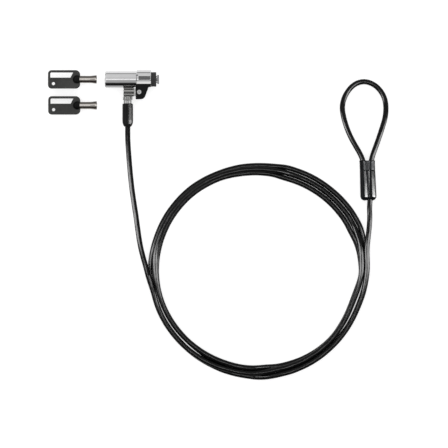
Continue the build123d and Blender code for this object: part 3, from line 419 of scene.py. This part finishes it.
# Painted shade and painted reflection bands by facing: Y of the normal, grey level, warmth
KEY_PAINTED_BANDS = [
    (-1.0, 0.45, 0.06), (-0.78, 0.50, 0.08), (-0.60, 0.30, 0.08), (-0.42, 0.32, 0.06),
    (-0.22, 0.42, 0.03), (-0.12, 0.98, 0.02), (0.27, 0.98, 0.02), (0.36, 0.30, 0.04),
    (0.52, 0.17, 0.06), (0.72, 0.15, 0.06), (1.0, 0.26, 0.04),
]
NECK_PAINTED_BANDS = [
    (-1.0, 0.30, 0.0), (-0.35, 0.08, 0.0), (-0.08, 0.09, 0.0), (0.06, 0.12, 0.0),
    (0.16, 0.60, 0.0), (0.35, 0.85, 0.0), (1.0, 0.7, 0.0),
]

# Slots whose material has another name
SLOT_ALIASES = {"spring_steel": "steel", "crimp_aluminium": "aluminium"}
NODE_MATERIALS = {
    "swivel_collar": "collar_nickel",
    "collar_hood": "hood_plate",
    "hinge_rivet": "rivet_nickel",
}


def paint_bands_by_facing(mat, painted_tones):
    """Painted shade and reflection bands: multiply the tint by a grey that follows the Y facing
    of the surface.
    """
    geometry = mat.node("ShaderNodeNewGeometry")
    facing = mat.axes(geometry.outputs["Normal"])["Y"]
    ramp = mat.node("ShaderNodeValToRGB")
    elements = ramp.color_ramp.elements
    for index, (facing_y, level, warm) in enumerate(painted_tones):
        position = (facing_y + 1) / 2
        if index < 2:
            # a new ramp already has two elements
            elements[index].position = position
            element = elements[index]
        else:
            element = elements.new(position)
        element.color = (level * (1 + warm), level, level * (1 - warm), 1)
    mat.feed(ramp.inputs["Fac"], mat.span(facing, within=(-1, 1), to=(0, 1)))
    mat.set(Base_Color=mat.mix(1.0, mat.base_colour(), ramp.outputs["Color"], "MULTIPLY"))


def paint_neck_side_highlight(mat):
    """A painted highlight: a plain pale tint on the +X side of the neck."""
    x = mat.axes(mat.coord.outputs["Object"])["X"]
    painted_light_share = mat.span(x, within=(-93.8 * MM, -93.4 * MM), to=(0.0, 0.75))
    mat.set(Base_Color=mat.mix(painted_light_share, mat.base_colour(), (0.62, 0.62, 0.61)))


def paint_rivet_recess_shade(mat):
    """Painted shade: a small dark spot at the rivet's centre, in place of the shade in its
    hollow.
    """
    distance = mat.node("ShaderNodeVectorMath")
    distance.operation = "DISTANCE"
    mat.feed(distance.inputs[0], mat.mapped((1, 1, 0)))
    distance.inputs[1].default_value = (-89.3 * MM, 135.1 * MM, 0.0)
    painted_light_share = mat.span(distance.outputs["Value"], within=(0.30 * MM, 0.50 * MM), to=(0.75, 0.0))
    mat.set(Base_Color=mat.mix(painted_light_share, mat.base_colour(), (0.10, 0.10, 0.10)))


def paint_hood_edge_glow(mat):
    """A painted highlight: a faint glow that keeps the hood's -Y edge bright."""
    y = mat.axes(mat.mapped())["Y"]
    glow = mat.span(y, within=(142.10 * MM, 143.75 * MM), to=(0.50, 0.0))
    mat.set(Emission_Color=(1.0, 0.99, 0.97), Emission_Strength=glow)


def build_materials():
    mats = {name: metal(name, *row) for name, row in METALS.items()}
    # painted shade and reflection bands on the key and neck nickel
    paint_bands_by_facing(mats["key_nickel"], KEY_PAINTED_BANDS)
    paint_bands_by_facing(mats["neck_nickel"], NECK_PAINTED_BANDS)
    paint_neck_side_highlight(mats["neck_nickel"])
    paint_rivet_recess_shade(mats["rivet_nickel"])
    paint_hood_edge_glow(mats["hood_plate"])
    mats.update({name: plastic(name, *row) for name, row in PLASTICS.items()})
    mats["cable_vinyl"] = vinyl("cable_vinyl")
    mats["sleeve_plastic"] = gloss_sleeve("sleeve_plastic")
    return {name: mat.material for name, mat in mats.items()}


MATERIALS = build_materials()
for row in frame["record"]["subparts"]:
    slot = row["material_slot"]
    node_materials = nodes[row["node"]].data.materials
    node_materials.clear()
    node_materials.append(MATERIALS[SLOT_ALIASES.get(slot, slot)])
for node_name, material_name in NODE_MATERIALS.items():
    nodes[node_name].data.materials[0] = MATERIALS[material_name]


# ------------------------------------------------------------------ mesh helpers
def link_object(name, data):
    obj = bpy.data.objects.new(name, data)
    bpy.context.scene.collection.objects.link(obj)
    return obj


def mesh_object(name, verts, faces, material, uvs=None, smooth=True):
    mesh = bpy.data.meshes.new(name)
    mesh.from_pydata([tuple(v) for v in verts], [], faces)
    mesh.update()
    if uvs is not None:
        layer = mesh.uv_layers.new(name="UVMap")
        layer.data.foreach_set("uv", np.asarray(uvs, np.float32).ravel())
    mesh.polygons.foreach_set("use_smooth", [smooth] * len(mesh.polygons))
    mesh.materials.append(MATERIALS[material])
    return link_object(name, mesh)


def ring_loft(rings):
    """Closed surface through rings of equal count."""
    count, size = len(rings), len(rings[0])
    verts = [point for ring in rings for point in ring]
    faces = []
    for i in range(count - 1):
        for j in range(size):
            k = (j + 1) % size
            faces.append((i * size + j, (i + 1) * size + j, (i + 1) * size + k, i * size + k))
    faces.append(tuple(range(size)))
    faces.append(tuple(range((count - 1) * size, count * size))[::-1])
    return verts, faces


def add_remesh(obj, voxel_mm, smoothings):
    """One even skin over all the solids in the mesh, then smoothed."""
    remesh = obj.modifiers.new("remesh", "REMESH")
    remesh.mode = "VOXEL"
    remesh.voxel_size = voxel_mm * MM
    smooth = obj.modifiers.new("smooth", "SMOOTH")
    smooth.iterations = smoothings
    smooth.factor = 0.5


def applied(raw, name, material):
    """Replace an object by a new one with its modifiers applied."""
    bpy.context.view_layer.update()
    depsgraph = bpy.context.evaluated_depsgraph_get()
    mesh = bpy.data.meshes.new_from_object(raw.evaluated_get(depsgraph))
    bpy.data.objects.remove(raw)
    mesh.name = name
    mesh.materials.clear()
    mesh.materials.append(MATERIALS[material])
    mesh.polygons.foreach_set("use_smooth", [True] * len(mesh.polygons))
    return link_object(name, mesh)


def read_points(mesh):
    return np.array([v.co for v in mesh.vertices], float)


def write_points(mesh, points):
    mesh.vertices.foreach_set("co", points.astype(np.float32).ravel())
    mesh.update()


# ------------------------------------------------------------------ cable
RING_STEP = 0.75
RING_SEGMENTS = 28
BEND_REACH = 20.0        # how far the lead and tail pieces reach into the coil
BEND_HALF = 9.0          # a length of cable on each side of the bend point
UNEVEN_STATIONS = 160
UNEVEN_SPREAD = 0.003    # share of the radius


def spline_through(points):
    """A natural cubic spline as a function of chord length, and the points' stations."""
    knots = np.array(points, float)
    gaps = np.linalg.norm(np.diff(knots, axis=0), axis=1)
    stations = np.r_[0, np.cumsum(gaps)]
    count = len(knots)
    system = np.zeros((count, count))
    target = np.zeros((count, 3))
    system[0, 0] = system[-1, -1] = 1
    for i in range(1, count - 1):
        before, after = gaps[i - 1], gaps[i]
        system[i, i - 1], system[i, i], system[i, i + 1] = before, 2 * (before + after), after
        target[i] = 6 * ((knots[i + 1] - knots[i]) / after - (knots[i] - knots[i - 1]) / before)
    curve = np.linalg.solve(system, target)    # second derivatives

    def line(lengths):
        lengths = np.asarray(lengths, float)
        i = np.clip(np.searchsorted(stations, lengths, side="right") - 1, 0, count - 2)
        past, gap = (lengths - stations[i])[:, None], gaps[i][:, None]
        left = gap - past
        return (
            curve[i] * left**3 / (6 * gap) + curve[i + 1] * past**3 / (6 * gap)
            + (knots[i] / gap - curve[i] * gap / 6) * left
            + (knots[i + 1] / gap - curve[i + 1] * gap / 6) * past
        )

    return line, stations


def carried_axes(centre):
    """Side and up directions carried along the line without twisting."""
    tangent = np.gradient(centre, axis=0)
    tangent /= np.linalg.norm(tangent, axis=1)[:, None]
    up = np.zeros_like(tangent)
    side = np.zeros_like(tangent)
    carried = np.array([0.0, 0.0, 1.0])
    for i in range(len(centre)):
        carried = carried - tangent[i] * (carried @ tangent[i])
        carried /= np.linalg.norm(carried)
        up[i] = carried
        side[i] = np.cross(tangent[i], carried)
    return side, up


def tube(name, centre, side, up, length, radius):
    """A closed round tube with the angle in U and the rope's lay in V."""
    count, size = len(centre), RING_SEGMENTS
    verts = []
    for i in range(count):
        for k in range(size):
            angle = 2 * math.pi * k / size
            outward = side[i] * math.cos(angle) + up[i] * math.sin(angle)
            verts.append((centre[i] + outward * radius[i]) * MM)
    faces, uvs = [], []
    for i in range(count - 1):
        v0, v1 = length[i] / ROPE_LAY, length[i + 1] / ROPE_LAY
        for j in range(size):
            k = (j + 1) % size
            faces.append((i * size + j, (i + 1) * size + j, (i + 1) * size + k, i * size + k))
            u0, u1 = j / size, (j + 1) / size
            uvs += [(u0, v0), (u0, v1), (u1, v1), (u1, v0)]
    # end caps on their own vertices
    for ring, order in ((0, 1), (count - 1, -1)):
        start = len(verts)
        verts += verts[ring * size:(ring + 1) * size]
        faces.append(tuple(range(start, start + size))[::order])
        uvs += [(k / size, 0) for k in range(size)][::order]
    return mesh_object(name, verts, faces, "cable_vinyl", uvs)


def build_cable():
    line, stations = spline_through(LEAD_PATH + COIL_PATH[1:] + TAIL_PATH[1:])
    lead_bend = stations[len(LEAD_PATH) - 1]
    tail_bend = stations[len(LEAD_PATH) + len(COIL_PATH) - 2]
    total = stations[-1]
    lengths = np.linspace(0, total, int(total / RING_STEP) + 1)
    centre = line(lengths)
    side, up = carried_axes(centre)
    rng = np.random.default_rng(7)
    offsets = rng.normal(0, UNEVEN_SPREAD, UNEVEN_STATIONS)
    uneven = np.interp(lengths, np.linspace(0, total, UNEVEN_STATIONS), offsets)
    radius = CABLE_RADIUS * (1 + uneven)

    def ring_at(length):
        return int(round(length / total * (len(lengths) - 1)))

    def point_at(length):
        return tuple(float(v) * MM for v in line(np.array([length]))[0])

    coil_start, coil_end = lead_bend + BEND_REACH, tail_bend - BEND_REACH
    pieces = {}
    for part, start, end in (
        ("lead", 0.0, coil_start), ("coil", coil_start, coil_end), ("tail", coil_end, total),
    ):
        cut = slice(ring_at(start), ring_at(end) + 1)
        pieces[part] = tube(f"cable_jacket_{part}_visual",
                            centre[cut], side[cut], up[cut], lengths[cut], radius[cut])
    for part, piece in pieces.items():
        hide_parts(f"cable_jacket_{part}")
    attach(pieces["coil"], "coil")
    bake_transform(pieces["lead"], "coil", "lead",
             start=point_at(lead_bend + BEND_HALF), end=point_at(lead_bend - BEND_HALF))
    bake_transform(pieces["tail"], "coil", "tail",
             start=point_at(tail_bend - BEND_HALF), end=point_at(tail_bend + BEND_HALF))
    return pieces


# ------------------------------------------------------------------ loop sleeve
SLEEVE_Z = 4.0
LOBE_HEIGHT_RATIO = 1.02
SLEEVE_ANGLES = np.linspace(0, 2 * math.pi, 48, endpoint=False)


def lobe(foot, mouth):
    """A tapered bar along Y, round at the foot, flat at the mouth; each end x, y, radius."""
    (x0, y0, r0), (x1, y1, r1) = foot, mouth
    stations = []
    for t in np.linspace(0.02, 1, 14):
        angle = t * math.pi / 2
        stations.append((x0, y0 - r0 * math.cos(angle), r0 * math.sin(angle)))
    for t in np.linspace(0, 1, 24)[1:]:
        stations.append((x0 + (x1 - x0) * t, y0 + (y1 - y0) * t, r0 + (r1 - r0) * t))
    return ring_loft([
        [((x + r * math.cos(a)) * MM, y * MM,
          (SLEEVE_Z + r * LOBE_HEIGHT_RATIO * math.sin(a)) * MM) for a in SLEEVE_ANGLES]
        for x, y, r in stations
    ])


def web(foot, mouth, half_width, half_height):
    """A squarish bar along Y that fills the valley between the lobes; each end x, y."""
    (x0, y0), (x1, y1) = foot, mouth
    rings = []
    for t in np.linspace(0, 1, 26):
        pinch = 1 - 0.55 * max(0.0, 1 - t * 10) ** 2    # narrows at the foot
        ring = []
        for angle in SLEEVE_ANGLES:
            c, s = math.cos(angle), math.sin(angle)
            ring.append((
                (x0 + (x1 - x0) * t + half_width * pinch * math.copysign(abs(c) ** 0.5, c)) * MM,
                (y0 + (y1 - y0) * t) * MM,
                (SLEEVE_Z + half_height * pinch * math.copysign(abs(s) ** 0.5, s)) * MM,
            ))
        rings.append(ring)
    return ring_loft(rings)


def build_sleeve():
    verts, faces = [], []
    for part_verts, part_faces in (
        lobe(foot=(79.72, 57.25, 3.30), mouth=(78.72, 84.05, 2.88)),
        lobe(foot=(85.35, 57.25, 3.25), mouth=(84.40, 84.05, 2.86)),
        web(foot=(82.5, 54.15), mouth=(81.55, 83.95), half_width=2.75, half_height=2.86),
    ):
        start = len(verts)
        verts += part_verts
        faces += [tuple(i + start for i in face) for face in part_faces]
    raw = mesh_object("sleeve_raw", verts, faces, "sleeve_plastic")
    add_remesh(raw, voxel_mm=0.16, smoothings=16)
    sleeve = applied(raw, "loop_sleeve_visual", "sleeve_plastic")

    # the mouth flares slightly and a narrow groove is drawn in at y 77.2
    points = read_points(sleeve.data)
    y = points[:, 1] / MM
    middle_x = np.interp(y, [54, 84], [82.5, 81.5]) * MM
    flare = 0.035 * np.exp(-((y - 84.0) / 1.6) ** 2)
    groove = 0.018 * np.exp(-((y - 77.2) / 0.45) ** 2)
    swell = 1 + flare - groove
    points[:, 0] = middle_x + (points[:, 0] - middle_x) * swell
    points[:, 2] = SLEEVE_Z * MM + (points[:, 2] - SLEEVE_Z * MM) * swell
    write_points(sleeve.data, points)
    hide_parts("loop_sleeve")
    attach(sleeve, "tail")
    return sleeve


# ------------------------------------------------------------------ neck block
NECK_HALF_DEPTH = 3.8
# y, change of the half depth
NECK_RIBS = [
    (131.5, -0.55), (132.35, -0.55), (132.7, -0.12), (133.1, 0.0), (133.8, -0.34),
    (134.0, 0.0), (135.4, 0.0), (137.1, -0.55), (137.45, 0.0), (141.5, 0.0),
]
# from y, to y, how much shallower the CAD block is there
NECK_WAISTS = [(136.9, 137.9, 0.35), (134.2, 135.7, 0.28), (132.2, 133.0, 0.5)]


def build_neck():
    raw = link_object("neck_raw", nodes["neck_block"].data.copy())
    add_remesh(raw, voxel_mm=0.13, smoothings=8)
    shrink = raw.modifiers.new("clear", "DISPLACE")
    shrink.mid_level = 0.0
    shrink.strength = -0.30 * MM
    neck = applied(raw, "neck_block_visual", "neck_nickel")

    # scale the depth to the ribs, fading out near mid height and towards +X
    points = read_points(neck.data)
    y = points[:, 1] / MM
    waist = sum(np.where((y > low) & (y < high), depth, 0) for low, high, depth in NECK_WAISTS)
    ribs = np.interp(y, *zip(*NECK_RIBS))
    gain = (NECK_HALF_DEPTH + ribs) / (NECK_HALF_DEPTH - waist)
    rise = points[:, 2] / MM - LOCK_Z
    fade_height = np.clip((np.abs(rise) - 1.6) / 0.9, 0, 1)
    fade_side = np.clip((-93.45 - points[:, 0] / MM) / 0.3, 0, 1)
    points[:, 2] = (LOCK_Z + rise * (1 + (gain - 1) * (fade_height * fade_side))) * MM
    write_points(neck.data, points)
    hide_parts("neck_block")
    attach(neck, "neck")


# ------------------------------------------------------------------ inset in the hood's slot
def build_inset():
    """A bar bent round the lock axis; angles lean from straight up towards +Y."""
    x_start, x_end = -89.72, -81.28
    angle_start, angle_end = -4.0, 16.2
    inner, outer = 5.50, 6.93
    chamfer_length, chamfer_drop = 0.1, 0.12
    steps = 13
    rings = []
    for x, drop in (
        (x_start, chamfer_drop), (x_start + chamfer_length, 0.0),
        (x_end - chamfer_length, 0.0), (x_end, chamfer_drop),
    ):
        ring = []
        for radius, first, last in (
            (outer - drop, angle_start, angle_end), (inner, angle_end, angle_start),
        ):
            for angle in np.linspace(first, last, steps):
                lean = math.radians(angle)
                ring.append((x * MM, (LOCK_AXIS_Y + radius * math.sin(lean)) * MM,
                             (LOCK_Z + radius * math.cos(lean)) * MM))
        rings.append(ring)
    inset = mesh_object("hub_rib_visual", *ring_loft(rings), "slot_inset", smooth=False)
    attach(inset, "bracket")


# ------------------------------------------------------------------ stage, in metres
STAGE_X, STAGE_Y = -0.026, 0.036


def build_floor():
    bpy.ops.mesh.primitive_plane_add(size=6.0, location=(STAGE_X, STAGE_Y, -0.0001))
    floor = bpy.context.object
    floor.name = "floor"
    mat = Surface("floor_paper")
    paper = mat.mix(mat.noise(scale=6, detail=2), (0.44, 0.44, 0.44), (0.46, 0.46, 0.46))
    mat.set(Base_Color=paper, Roughness=0.95, Specular_IOR_Level=0.0,
            Emission_Color=(1.0, 1.0, 1.0), Emission_Strength=0.66)

    # Polished parts see a greyer sheet, darker for rays that head towards -Y
    # and for grazing rays.
    path = mat.node("ShaderNodeLightPath")
    geometry = mat.node("ShaderNodeNewGeometry")
    incoming = mat.axes(geometry.outputs["Incoming"])
    level = mat.span(incoming["Y"], within=(-0.25, 0.25), to=(0.86, 0.46))
    graze_plus_y = mat.span(incoming["Z"], within=(0.10, 0.26), to=(0.42, 1.0))
    graze_minus_y = mat.span(incoming["Z"], within=(0.08, 0.40), to=(0.05, 1.0))
    to_minus_y = mat.span(incoming["Y"], within=(-0.05, 0.05))
    graze = mat.add(mat.multiply(graze_plus_y, mat.math("SUBTRACT", 1.0, to_minus_y)),
                    mat.multiply(graze_minus_y, to_minus_y))
    sheet = mat.node("ShaderNodeEmission")
    mat.feed(sheet.inputs["Strength"], mat.multiply(level, graze))
    shader = mat.choose(path.outputs["Is Glossy Ray"],
                        mat.shader.outputs["BSDF"], sheet.outputs["Emission"])
    output = next(n for n in mat.tree.nodes if n.type == "OUTPUT_MATERIAL")
    mat.feed(output.inputs["Surface"], shader)
    floor.data.materials.append(mat.material)


# What polished surfaces see. Each row: from, to, softness (degrees), level.
# By lean from straight up towards +Y: a bright ceiling strip, pale panels towards +Y with
# a darker line at the horizon, then greyer panels and black towards -Y.
LEAN_BANDS = [
    (-9, 6, 1.5, 1.45), (6, 22, 2, 0.66), (22, 79, 2.5, 0.80), (79, 100, 2, 0.36),
    (-38, -9, 2.0, 0.50), (-54, -38, 3, 0.36),
]
BLACK_LEVEL = 0.006
# By elevation, seen towards +X and -X
END_BANDS = [(50, 95, 10, 0.45), (14, 50, 8, 1.0), (-5, 14, 5, 0.12)]
# By azimuth, 0 at +-X and 90 at +-Y: where the end bands take over
END_ZONE = [(-60, 40, 8, 1.0)]
PLAIN_STRENGTH = 1.12    # the world for all other rays


def build_world():
    world = bpy.data.worlds.new("studio")
    bpy.context.scene.world = world
    world.use_nodes = True
    world.node_tree.nodes.clear()
    sky = Graph(world.node_tree)

    def degrees(operation, *values):
        return sky.multiply(sky.math(operation, *values), 180 / math.pi)

    def bands(angle, rows):
        """Sum of levels, each held between its limits and fading over its softness."""
        total = None
        for low, high, soft, level in rows:
            rise = sky.span(angle, (low - soft, low + soft), (0.0, 1.0), "SMOOTHSTEP")
            fall = sky.span(angle, (high - soft, high + soft), (1.0, 0.0), "SMOOTHSTEP")
            band = sky.multiply(sky.multiply(rise, fall), level)
            total = band if total is None else sky.add(total, band)
        return total

    x, y, z = sky.axes(sky.node("ShaderNodeTexCoord").outputs["Generated"])
    lean = degrees("ARCTAN2", y, z)
    elevation = degrees("ARCSINE", z)
    azimuth = degrees("ARCTAN2", sky.math("ABSOLUTE", y), sky.math("ABSOLUTE", x))
    across = sky.add(bands(lean, LEAN_BANDS), BLACK_LEVEL)
    end_zone = bands(azimuth, END_ZONE)
    ends = bands(elevation, END_BANDS)
    polished = sky.add(sky.multiply(across, sky.math("SUBTRACT", 1.0, end_zone)),
                       sky.multiply(ends, end_zone))

    path = sky.node("ShaderNodeLightPath")
    plain = sky.node("ShaderNodeBackground")
    plain.inputs["Color"].default_value = (1, 1, 1, 1)
    plain.inputs["Strength"].default_value = PLAIN_STRENGTH
    glossy = sky.node("ShaderNodeBackground")
    sky.feed(glossy.inputs["Strength"], polished)
    shader = sky.choose(path.outputs["Is Glossy Ray"],
                        plain.outputs["Background"], glossy.outputs["Background"])
    sky.feed(sky.node("ShaderNodeOutputWorld").inputs["Surface"], shader)


def add_light(name, kind, **settings):
    data = bpy.data.lights.new(name, kind)
    for key, value in settings.items():
        setattr(data, key, value)
    return link_object(name, data)


def aim(lamp, location, target):
    lamp.location = location
    direction = Vector(target) - Vector(location)
    lamp.rotation_euler = direction.to_track_quat("-Z", "Y").to_euler()


def light_only(lamp, group_name, pieces):
    group = bpy.data.collections.new(group_name)
    for piece in pieces:
        group.objects.link(piece)
    lamp.visible_diffuse = False
    lamp.light_linking.receiver_collection = group


def build_lights(cable, sleeve):
    # a broad overhead light gives the soft grounding shadow
    lamp = add_light("overhead", "AREA", shape="RECTANGLE", size=0.9, size_y=0.7, energy=1.4)
    aim(lamp, location=(-0.15, 0.35, 0.9), target=(STAGE_X, STAGE_Y, 0))
    lamp.visible_glossy = False

    # long softboxes at -X and +X draw the highlights along the black parts
    lead, coil, tail = cable["lead"], cable["coil"], cable["tail"]
    # group, side in X, power, width, what it lights
    for group_name, sign, power, width, lit in (
        ("lit_left", -1, 6.0, 0.10, (lead, coil, tail)),
        ("lit_right", 1, 6.0, 0.10, (coil, tail)),
        ("lit_sleeve", 1, 13.0, 0.12, (sleeve,)),
        ("lit_boot", 1, 9.5, 0.20, (nodes["strain_boot"],)),
    ):
        lamp = add_light("softbox", "AREA", shape="RECTANGLE",
                         size=width, size_y=0.62, energy=power)
        aim(lamp, location=(sign * 0.31, 0.02, 0.20), target=(0, 0.02, 0))
        light_only(lamp, group_name, lit)

    # a small high source draws one thin line along the top of every strand
    lamp = add_light("strip", "SUN", energy=0.62, angle=math.radians(12))
    lamp.rotation_euler = Vector((0.03, -0.10, 1.0)).to_track_quat("Z", "Y").to_euler()
    light_only(lamp, "lit_strands", (lead, coil, tail))


def build_camera():
    """Looks straight down."""
    view_width = 0.336
    distance = 3.0
    subject_z = 0.006    # height at which the view is view_width wide
    sensor = 36.0
    data = bpy.data.cameras.new("camera")
    data.sensor_width = sensor
    data.lens = sensor * distance / view_width
    data.clip_start, data.clip_end = 0.1, 20
    camera = link_object("camera", data)
    camera.location = (-0.025875, 0.036375, distance + subject_z)
    scene = bpy.context.scene
    scene.camera = camera
    scene.view_settings.view_transform = "Standard"
    scene.view_settings.look = "None"


cable_pieces = build_cable()
sleeve_piece = build_sleeve()
build_neck()
build_inset()
build_floor()
build_world()
build_lights(cable_pieces, sleeve_piece)
build_camera()
